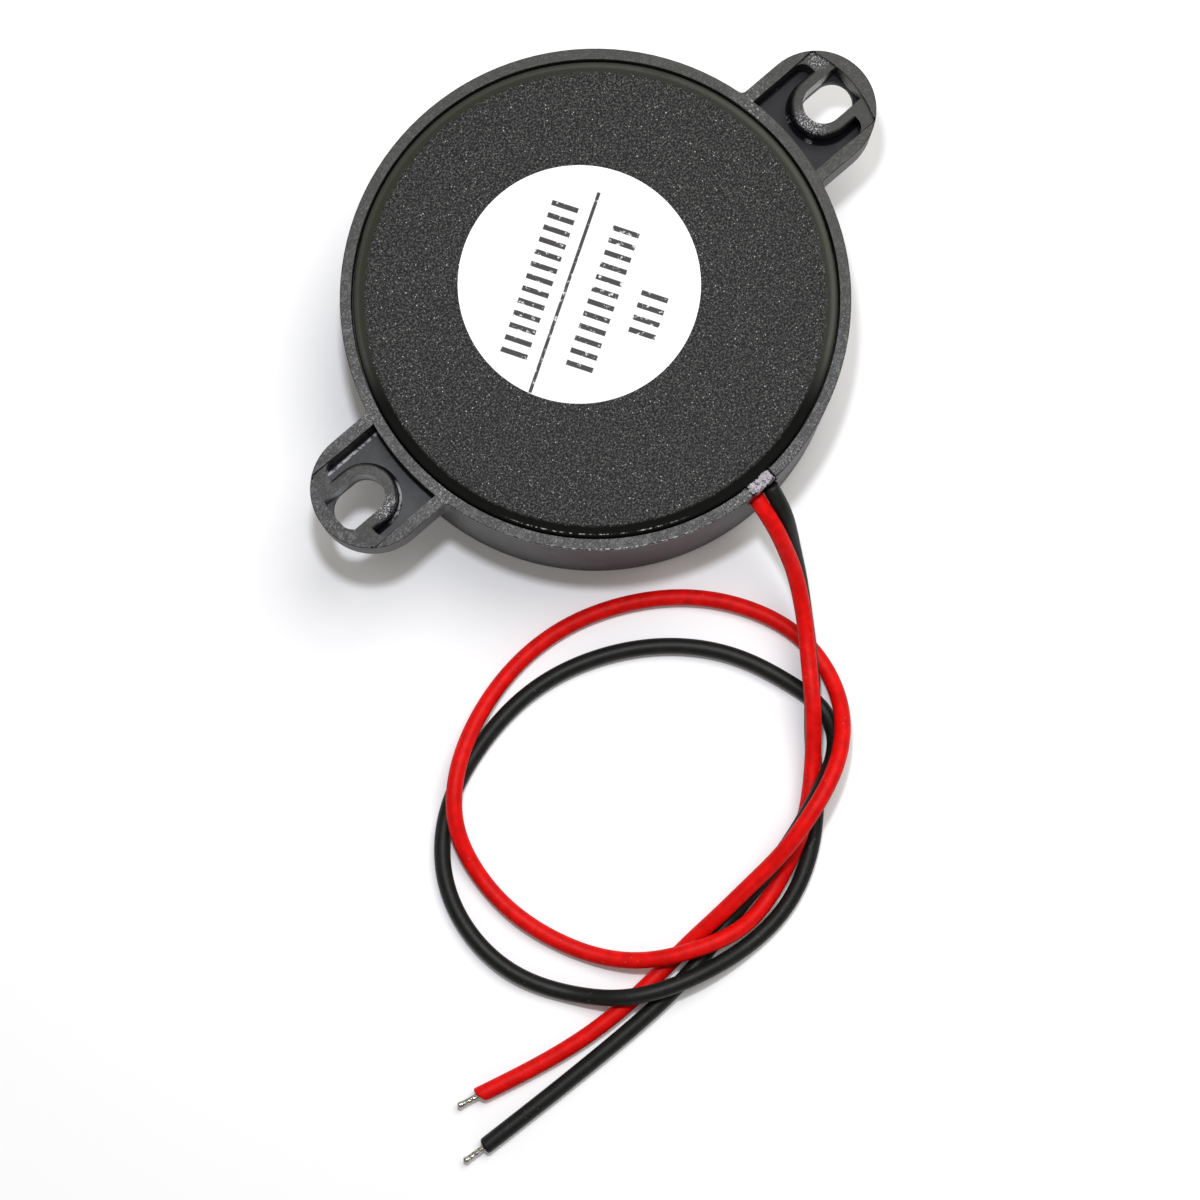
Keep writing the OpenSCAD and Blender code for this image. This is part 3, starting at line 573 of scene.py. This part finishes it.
def housingFinish():
    look, share, height = housingLook, housingLook["shares"], housingLook["heights"]
    f = Finish("housing_plastic")
    depth, over = rimTop - f.z, f.z - look["pocketFloor"]
    outside = f.far(f.x, f.y) - bodyRadius
    left = f.x.ramp(*look["left"])
    cloud, fine = f.noise(*look["cloud"]), f.noise(*look["fine"])
    top = depth.ramp(*look["topDepth"])
    # hollow of an ear
    beyond = (abs(f.x) - look["earMiddle"]).most(0.0)
    inEar = abs(f.y).ramp(*look["pocketSide"]) * outside.ramp(*look["pocketStart"])
    inEar = inEar * over.ramp(*look["pocketLow"]) * f.far(beyond, f.y).ramp(*look["pocketEnd"])
    pocket = inEar * (1 - top)
    floor = pocket * over.ramp(*look["floorHigh"])
    # side walls: dusty, with level streaks
    streak = f.pattern(*look["streak"])
    dusty = share["leastDust"] + (1 - share["leastDust"]) * f.x.ramp(*look["dustier"])
    dusty = dusty * (share["streak"] * streak + share["cloud"] * cloud.ramp(*look["dustCloud"]))
    # painted shade: in the ears' hollows the walls and floor take a darker, bluish copy of the wall colour
    wall = f.mix(pocket, f.mix(dusty, look["color"], look["dustColor"]), look["pocketShadeColor"])
    # upper faces: fine scuffs, fewer on the bosses and towards the upper right
    onBoss = depth.ramp(*look["bossDepth"])
    clean = (f.x + f.y).ramp(*look["clean"])
    upper = f.mix(onBoss, f.mix(clean, look["topColor"], look["oliveColor"]), look["bossColor"])
    fleck = sum(strength * f.pattern(*rest) for strength, *rest in look["flecks"])
    fleck = fleck * (1 - share["boss"] * onBoss) * (1 - share["clean"] * clean)
    # rough whitish wear in some places; painted highlights: glints on the outer edge of the rim and on the
    # bosses
    scrape = f.pattern(*look["scrape"]) * f.near(look["worn"])
    glint = outside.ramp(*look["edgeStart"]) * f.near(look["edgeGlintSpots"]) * f.pattern(*look["edgeGlint"])
    spark = f.near(look["sparks"]).ramp(*look["sparkCore"]) * f.pattern(*look["sparkGlint"])
    spark = spark * inEar * depth.ramp(*look["sparkDepth"]) * depth.ramp(*look["sparkEnd"])
    # painted highlights: glints along the foot of a boss and of one wall of the left ear
    ring = abs(f.far(abs(f.x) - look["bossMiddle"], f.y) - look["bossFoot"])
    ring = ring.ramp(*look["ringWidth"]) * f.near(look["feet"]).ramp(*look["footCore"])
    ledge = abs(f.y - look["wallFoot"]).ramp(*look["ledgeWidth"]) * left
    foot = ring.most(ledge) * over.ramp(*look["footHigh"]) * pocket * f.pattern(*look["footGlint"])
    light = fleck.most(share["scrape"] * scrape).most(glint) * top
    light = light.most(share["spark"] * spark).most(share["foot"] * foot)
    color = f.mix(light, f.mix(top, wall, upper), look["scuffAndGlintColor"])
    # painted shade: a dark line where the broken outer edge turns down, found by the face's direction
    rise = f.parts(f.use("ShaderNodeNewGeometry", out="Normal"))[2]
    brink = rise.ramp(*look["brinkSlope"][0]) * rise.ramp(*look["brinkSlope"][1])
    brink = share["brink"] * brink * depth.ramp(*look["brinkDepth"])
    color = f.mix(brink, color, look["brinkColor"])
    dull = look["roughness"]
    roughness = dull["wall"] + pocket * (dull["pocket"] - dull["wall"]) + top * (dull["top"] - dull["wall"])
    roughness = roughness + floor * (dull["rightFloor"] - dull["pocket"])
    roughness = roughness + floor * left * (dull["leftFloor"] - dull["rightFloor"])
    roughness = roughness + dull["uneven"] * (cloud - 0.5)
    relief = height["fine"] * fine + top * (height["topFine"] * fine + height["scrape"] * scrape)
    relief = relief + height["streak"] * streak * (1 - top) + height["spark"] * spark
    relief = relief + height["floor"] * floor * f.noise(*look["floorGrain"])
    return f.finished(color, roughness, relief, Specular_IOR_Level=look["shine"])


coverLook = {
    "color": (0.006, 0.0065, 0.006),
    "grain": (0.122, 0.126, 0.119),
    # colour of the painted highlights: the specks and the thin line
    "glint": (0.9, 0.9, 0.86),
    "edgeColor": (0.03, 0.031, 0.023),         # of the smooth border as lit, with a painted highlight at its very edge
    "edgeShade": (0.0035, 0.0035, 0.003),      # of the border on the side that lies in shade
    "roughness": {"border": 0.3, "grain": 0.3, "shade": 0.6},          # the last two are added
    "shine": 0.12,
    "grainNoise": (6.0, 3, 0.75),
    "grainEnds": (0.44, 0.74),
    "grainHeight": 0.035,
    "glintPerMm": 5.2,
    "glintSize": (0.36, 0.06),                 # soft end of a speck, as a share of its cell
    "glintPowers": [(0.2, 2), (0.3, 7), (0.5, 22)],    # a high power leaves few specks, all bright
    "glintShare": 0.75,
    "relief": [(0.003, (9, 2))],
    "grainEnd": (19.15, 18.85),                # radius where the texture gives way to the border, mm
    "wander": (0.35, (1.3, 4, 0.6)),           # how far that line wanders
    "grainDepth": (0.2, 0.05),
    "slope": (19.5, 18.85),                    # the border slopes down between these radii
    "slopeDrop": 0.13,
    # painted highlight that lightens the border towards its edge
    "lightEdge": (19.4, 19.9),
    "lightShare": 0.12,
    # painted shade in the gap to the rim and past it
    "darkEdge": (19.94, 20.04),
    "shadeWay": (-0.66, -0.75),
    "shadeEnds": (3.5, 9.5),
    # painted highlight: a thin bright line on the rounded edge
    "lineRadius": 19.68,
    "lineWidth": (0.06, 0.01),
    "lineSpot": [(-12.9, -14.9, 9.0)],
    "lineCore": (0.0, 0.4),
    "lineGlint": ((2.6, 3, 0.7), 0.46, 0.62),
    "lineShare": 0.45,
    "edgeRound": 0.6,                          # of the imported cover, mm
    "edgePower": 4,                            # 2 is a quarter circle, more is a fuller edge
    "hair": 0.001,
}


# The edge's quarter circle is drawn out by a higher power than 2, so that the gap to the rim looks narrow
def fullerEdge(points):
    soft, power, hair = coverLook["edgeRound"], coverLook["edgePower"], coverLook["hair"]
    radius, height = np.linalg.norm(points[:, :2], axis=1), points[:, 2]
    edge, foot = coverRadius - soft, coverTop - soft
    share = np.clip((radius - edge) / soft, 0, 1)
    raised = foot + soft * (1 - share ** power) ** (1 / power)
    chosen = (radius > edge + hair) & (radius < coverRadius + hair) & (height > foot + hair)
    return np.column_stack([points[:, :2], np.where(chosen, raised, height)])


def coverFinish():
    look = coverLook
    f = Finish("cover_plastic")
    radius = f.far(f.x, f.y)
    wander, wanderNoise = look["wander"]
    ragged = radius + wander * (f.noise(*wanderNoise) - 0.5)
    inside = ragged.ramp(*look["grainEnd"]) * (coverTop - f.z).ramp(*look["grainDepth"])
    # painted highlights: each cell holds a glinting speck, and the cell's own random colour makes it bright
    # or faint
    grain = f.noise(*look["grainNoise"])
    pick = f.use("ShaderNodeSeparateColor", {}, {0: f.cells(look["glintPerMm"], "Color")})
    glint = sum(strength * pick ** power for strength, power in look["glintPowers"])
    glint = look["glintShare"] * glint * f.cells(look["glintPerMm"]).ramp(*look["glintSize"])
    texture = f.mix(grain.ramp(*look["grainEnds"]), look["color"], look["grain"])
    texture = f.mix(glint, texture, look["glint"])
    # smooth border: painted highlight towards its edge, painted shade in the gap and on the side that lies in
    # shade
    shaded = (f.x * look["shadeWay"][0] + f.y * look["shadeWay"][1]).ramp(*look["shadeEnds"])
    border = f.mix(look["lightShare"] * radius.ramp(*look["lightEdge"]), look["edgeColor"], look["grain"])
    border = f.mix(shaded.most(radius.ramp(*look["darkEdge"])), border, look["edgeShade"])
    line = abs(radius - look["lineRadius"]).ramp(*look["lineWidth"]) * f.pattern(*look["lineGlint"])
    line = look["lineShare"] * line * f.near(look["lineSpot"]).ramp(*look["lineCore"])
    color = f.mix(inside, f.mix(line, border, look["glint"]), texture)
    relief = look["slopeDrop"] * radius.ramp(*look["slope"]) + look["grainHeight"] * inside * grain
    relief = relief + f.layers(look["relief"])
    dull = look["roughness"]
    roughness = dull["border"] + dull["grain"] * inside + dull["shade"] * shaded * (1 - inside)
    return f.finished(color, roughness, relief, Specular_IOR_Level=look["shine"])


labelLook = {
    "paper": (0.93, 0.93, 0.93),
    "shade": (0.87, 0.87, 0.88),
    "ink": (0.016, 0.013, 0.011),
    "inkShare": 0.98,
    "inkUneven": [(0.02, (5, 2))],
    "ways": ((-0.863, -0.505), (0.505, -0.863)),       # along and across the rows
    "divider": {"across": -0.92, "along": 1.05, "length": 17.7, "width": 0.3, "blur": 0.05},
    "rows": [
        {"across": -3.2, "from": -6.3, "bars": 13},
        {"across": 2.24, "from": -5.9, "bars": 12},
        {"across": 6.2, "from": -1.5, "bars": 4},
    ],
    "barTall": 2.3,
    "barWide": 0.46,
    "barPitch": 1.08,
    "blur": 0.04,                              # half the soft step at an edge of the print, mm
    "chips": ((2.2, 4, 0.7), 0.58, 0.66),
    "chipShare": 0.75,
    "tone": (1.5, 3),
    "roughness": 0.5,
    "dull": [(0.1, (3, 2))],
    "relief": [(0.004, (3, 3))],
    "shine": 0.3,
    "edgeRound": 0.04,
    "edgeSteps": 5,
    "middle": 0.5,                             # radius of the first ring, mm
    "rings": 14,
    "sides": 160,
    "under": 0.3,                              # how far the underside goes in, mm
}


# 1 within half of 0, with a short smooth step at each side
def band(value, half, blur=labelLook["blur"]):
    return abs(value).ramp(half + blur, half - blur)


# Print: bars come from the remainder of the place along a row
def labelFinish(middle):
    look = labelLook
    f = Finish("label_paper")
    x, y = f.x - middle[0], f.y - middle[1]
    along, across = (x * way[0] + y * way[1] for way in look["ways"])
    line, pitch = look["divider"], look["barPitch"]
    ink = band(across - line["across"], line["width"] / 2)
    ink = ink * band(along - line["along"], line["length"] / 2, line["blur"])
    for row in look["rows"]:
        start, reach = along - row["from"], row["bars"] * pitch / 2
        bar = band(start % pitch - pitch / 2, look["barWide"] / 2)
        bar = bar * band(across - row["across"], look["barTall"] / 2)
        ink = ink.most(bar * band(start - reach, reach))
    ink = ink * (look["inkShare"] + f.layers(look["inkUneven"]))
    ink = ink * (1 - look["chipShare"] * f.pattern(*look["chips"]))
    color = f.mix(ink, f.mix(f.noise(*look["tone"]), look["shade"], look["paper"]), look["ink"])
    roughness = look["roughness"] + f.layers(look["dull"])
    return f.finished(color, roughness, f.layers(look["relief"]), Specular_IOR_Level=look["shine"])


# A flat disc: rings from the middle out to a rounded rim and down its side
def makeLabel():
    look = labelLook
    low, high = (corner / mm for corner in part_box("back_label"))
    middle = (low + high) / 2
    soft, flat = look["edgeRound"], look["rings"]
    bend = np.linspace(0, np.pi / 2, look["edgeSteps"])
    rim = (high.x - low.x) / 2
    radius = np.r_[np.linspace(look["middle"], rim - 2 * soft, flat), rim - soft + soft * np.sin(bend),
                   rim, rim - look["under"]]
    height = np.r_[np.full(flat, high.z), high.z - soft + soft * np.cos(bend), low.z, low.z]
    turn = np.linspace(0, 2 * np.pi, look["sides"], endpoint=False)
    rings = np.stack([middle.x + radius[:, None] * np.cos(turn), middle.y + radius[:, None] * np.sin(turn),
                      np.repeat(height[:, None], len(turn), axis=1)], axis=-1)[::-1]
    return makePiece("back_label_print", ringPoints(rings) * mm, ringFaces(len(rings), len(turn)),
                     labelFinish((middle.x, middle.y)), "label_paper", "back_label")


softLook = {
    "angle": 32,          # degrees from which an edge is sharp
    "hair": 0.02,         # corners nearer than this are merged, mm
    "segments": 3,
    "level": 0.01,        # how level a broken edge is, mm
    "atEnd": 0.02,        # how near the rim's top or the front face it lies, mm
    "besidePocket": 0.1,
    "pastWall": 0.05,
}


# True for an edge at the top or the front whose side face looks outward, beyond the pockets of the ears
def onOutline(edge):
    first, second = (corner.co / mm for corner in edge.verts)
    middle = (first + second) / 2
    side = min((face.normal for face in edge.link_faces), key=lambda normal: abs(normal.z))
    level = abs(first.z - second.z) < softLook["level"]
    atEnd = middle.z > rimTop - softLook["atEnd"] or middle.z < softLook["atEnd"]
    beside = abs(middle.y) > housingLook["pocketHalf"] + softLook["besidePocket"]
    past = middle.xy.length > bodyRadius + softLook["pastWall"]
    return level and atEnd and (beside or past) and side.xy.dot(middle.xy) > 0


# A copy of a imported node: its loose corners are merged and its outer edges are broken
def softCopy(node, name, material, slot, width, reshape=None):
    source = nodes[node].data
    at = np.zeros(len(source.vertices) * 3, np.float32)
    source.vertices.foreach_get("co", at)
    corners = np.zeros(len(source.loops), np.int32)
    source.loops.foreach_get("vertex_index", corners)
    unique, joined = np.unique(np.round(at.reshape(-1, 3), 8), axis=0, return_inverse=True)
    if reshape:
        unique = reshape(unique / mm) * mm
    faces = joined.reshape(-1)[corners].reshape(-1, 3)
    whole = (faces[:, 0] != faces[:, 1]) & (faces[:, 1] != faces[:, 2]) & (faces[:, 0] != faces[:, 2])
    piece = makePiece(name, unique, faces[whole].tolist(), material, slot, node)
    sharp, hair = radians(softLook["angle"]), softLook["hair"] * mm
    work = bmesh.new()
    work.from_mesh(piece.data)
    bmesh.ops.remove_doubles(work, verts=work.verts, dist=hair)
    bmesh.ops.dissolve_degenerate(work, edges=work.edges, dist=hair)
    work.normal_update()
    weight = work.edges.layers.float.new("bevel_weight_edge")
    for edge in work.edges:
        if len(edge.link_faces) == 2 and edge.calc_face_angle(0) > sharp:
            edge[weight] = 1.0 if onOutline(edge) else 0.0
    work.to_mesh(piece.data)
    work.free()
    piece.data.set_sharp_from_angle(angle=sharp)
    bevel = piece.modifiers.new("broken_edges", "BEVEL")
    bevel.width, bevel.segments, bevel.limit_method = width * mm, softLook["segments"], "WEIGHT"
    bevel.use_clamp_overlap, bevel.miter_outer = False, "MITER_ARC"
    weighted = piece.modifiers.new("flat_faces", "WEIGHTED_NORMAL")
    weighted.keep_sharp = True


# Broken end of the cover's tab, over the plain tab of the CAD
tabLook = {
    "half": (1.17, 0.49, 0.46),                # half its size, mm
    "middle": (0.05, -20.43, 13.5),
    "power": 7,                                # 2 is an ellipsoid, and a large power a sharp block
    "lump": 0.05,
    "rings": 70,
    "sides": 140,
    "dark": (0.07, 0.066, 0.073),
    "light": (0.4, 0.37, 0.4),
    "lightPattern": ((3.4, 4, 0.8), 0.4, 0.54),
    "lightDepth": (0.75, 0.35),
    "roughness": 0.5,
    "relief": [(0.08, (5, 4, 0.7))],
}
notchLook = {
    "half": (0.25, 0.5, 0.8),                  # ends of the rim, which leave a narrow gap beside the tab
    "middle": (1.0, -20.44, 13.17),
    "places": {"left": -1.41, "right": 1.52},
    "power": 9,
    "lump": 0.0,
    "rings": 24,
    "sides": 48,
}
lumpWaves = {"count": 9, "turns": (2.4, 1.1), "pitch": (2.2, 2.3), "shift": 1.7}


def tabFinish():
    look = tabLook
    f = Finish("tab_break")
    light = f.pattern(*look["lightPattern"]) * (coverTop - f.z).ramp(*look["lightDepth"])
    return f.finished(f.mix(light, look["dark"], look["light"]), look["roughness"], f.layers(look["relief"]))


# A direction on the sphere is stretched to a block with rounded corners: divided by the root of the sum
# of the powers of its three shares. It is swollen by waves that cross it in several ways, ever finer.
def lumpyBlock(s, side=1):
    rise = np.linspace(-np.pi / 2, np.pi / 2, s["rings"] + 2)[1:-1, None]
    turn = np.linspace(0, 2 * np.pi, s["sides"], endpoint=False)[None]
    way = np.stack([np.cos(rise) * np.cos(turn), np.cos(rise) * np.sin(turn),
                    np.sin(rise) + 0 * turn], axis=-1)
    block = way / (np.abs(way) ** s["power"]).sum(-1, keepdims=True) ** (1 / s["power"])
    at = block * s["half"]
    count = np.arange(1, lumpWaves["count"] + 1)
    flat, steep = (turns * count for turns in lumpWaves["turns"])
    waves = np.stack([np.cos(flat), np.sin(flat), np.cos(steep)])
    waves = waves * (lumpWaves["pitch"][0] + lumpWaves["pitch"][1] * count)
    swell = (np.sin(at @ waves + lumpWaves["shift"] * count) / np.sqrt(count)).sum(-1)
    rings = np.array(s["middle"]) * (side, 1, 1) + at * (1 + s["lump"] * swell[..., None])
    return ringPoints(rings) * mm, ringFaces(s["rings"], s["sides"])


def makeTab(rimMaterial):
    makePiece("back_cover_tab_break", *lumpyBlock(tabLook), tabFinish(), "cover_plastic")
    for name, side in notchLook["places"].items():
        makePiece("rim_end_" + name, *lumpyBlock(notchLook, side), rimMaterial, "housing_plastic")


housingPlastic = housingFinish()
softCopy("housing", "housing_moulding", housingPlastic, "housing_plastic", housingLook["bevel"])
softCopy("back_cover", "back_cover_moulding", coverFinish(), "cover_plastic", 0.02, fullerEdge)
makeTab(housingPlastic)
makeLabel()
print("housing, cover and label ready")

# Finishes of the pieces inside: two colours mixed by noise, a roughness and a fine relief
innerLooks = {
    "adhesive": {
        "nodes": ["disc_adhesive"], "colors": ((0.75, 0.74, 0.7), (0.62, 0.6, 0.55)),
        "roughness": 0.55, "metal": 0.0, "perMm": 1.5, "depth": 0.02},
    "brass_disc": {
        "nodes": ["piezo_plate"], "colors": ((0.78, 0.55, 0.22), (0.6, 0.4, 0.15)),
        "roughness": 0.3, "metal": 1.0, "perMm": 2.0, "depth": 0.004},
    "piezo_ceramic": {
        "nodes": ["piezo_ceramic"], "colors": ((0.68, 0.63, 0.5), (0.6, 0.55, 0.43)),
        "roughness": 0.7, "metal": 0.0, "perMm": 5.0, "depth": 0.006},
    "silver": {
        "nodes": ["drive_electrode", "feedback_electrode"], "colors": ((0.78, 0.77, 0.74), (0.6, 0.58, 0.53)),
        "roughness": 0.4, "metal": 1.0, "perMm": 4.0, "depth": 0.006},
    "board": {
        "nodes": ["circuit_board"], "colors": ((0.03, 0.2, 0.07), (0.02, 0.14, 0.05)),
        "roughness": 0.38, "metal": 0.0, "perMm": 2.5, "depth": 0.008},
    "transistor_plastic": {
        "nodes": ["transistor"], "colors": ((0.018, 0.018, 0.019), (0.03, 0.03, 0.03)),
        "roughness": 0.5, "metal": 0.0, "perMm": 6.0, "depth": 0.01},
    "ferrite": {
        "nodes": ["inductor_core"], "colors": ((0.07, 0.07, 0.075), (0.04, 0.04, 0.042)),
        "roughness": 0.5, "metal": 0.0, "perMm": 5.0, "depth": 0.012},
    "copper_wire": {
        "nodes": ["inductor_winding"], "colors": ((0.6, 0.26, 0.1), (0.42, 0.16, 0.06)),
        "roughness": 0.28, "metal": 1.0, "perMm": 6.0, "depth": 0.05, "stretch": (0.1, 0.1, 2.0)},
    "resistor_body": {
        "nodes": ["base_resistor", "bias_resistor"], "colors": ((0.66, 0.5, 0.3), (0.55, 0.4, 0.22)),
        "roughness": 0.35, "metal": 0.0, "perMm": 3.0, "depth": 0.01},
    "diode_body": {
        "nodes": ["diode"], "colors": ((0.5, 0.14, 0.04), (0.36, 0.09, 0.03)),
        "roughness": 0.18, "metal": 0.0, "perMm": 3.0, "depth": 0.006},
    "thin_wire": {
        "nodes": ["plate_wire", "drive_wire", "feedback_wire"],
        "colors": ((0.12, 0.12, 0.12), (0.07, 0.07, 0.07)),
        "roughness": 0.35, "metal": 0.0, "perMm": 4.0, "depth": 0.006},
    "solder": {
        "nodes": ["disc_solder", "board_solder"], "colors": ((0.66, 0.66, 0.65), (0.42, 0.42, 0.41)),
        "roughness": 0.3, "metal": 1.0, "perMm": 3.0, "depth": 0.02},
}
innerCloud = {"detail": 3, "roughness": 0.6, "ends": (0.35, 0.65), "dull": 0.15}


def innerFinish(name, look):
    f = Finish(name)
    cloud = f.noise(look["perMm"], innerCloud["detail"], innerCloud["roughness"], look.get("stretch"))
    color = f.mix(cloud.ramp(*innerCloud["ends"]), *look["colors"])
    roughness = look["roughness"] + innerCloud["dull"] * cloud
    return f.finished(color, roughness, look["depth"] * cloud, Metallic=look["metal"])


def dress(name, material):
    for slot in nodes[name].material_slots:
        slot.material = material


for name, look in innerLooks.items():
    material = innerFinish(name, look)
    for node in look["nodes"]:
        dress(node, material)
dress("red_tail", redJacket)
dress("black_tail", blackJacket)
print("inner pieces dressed")
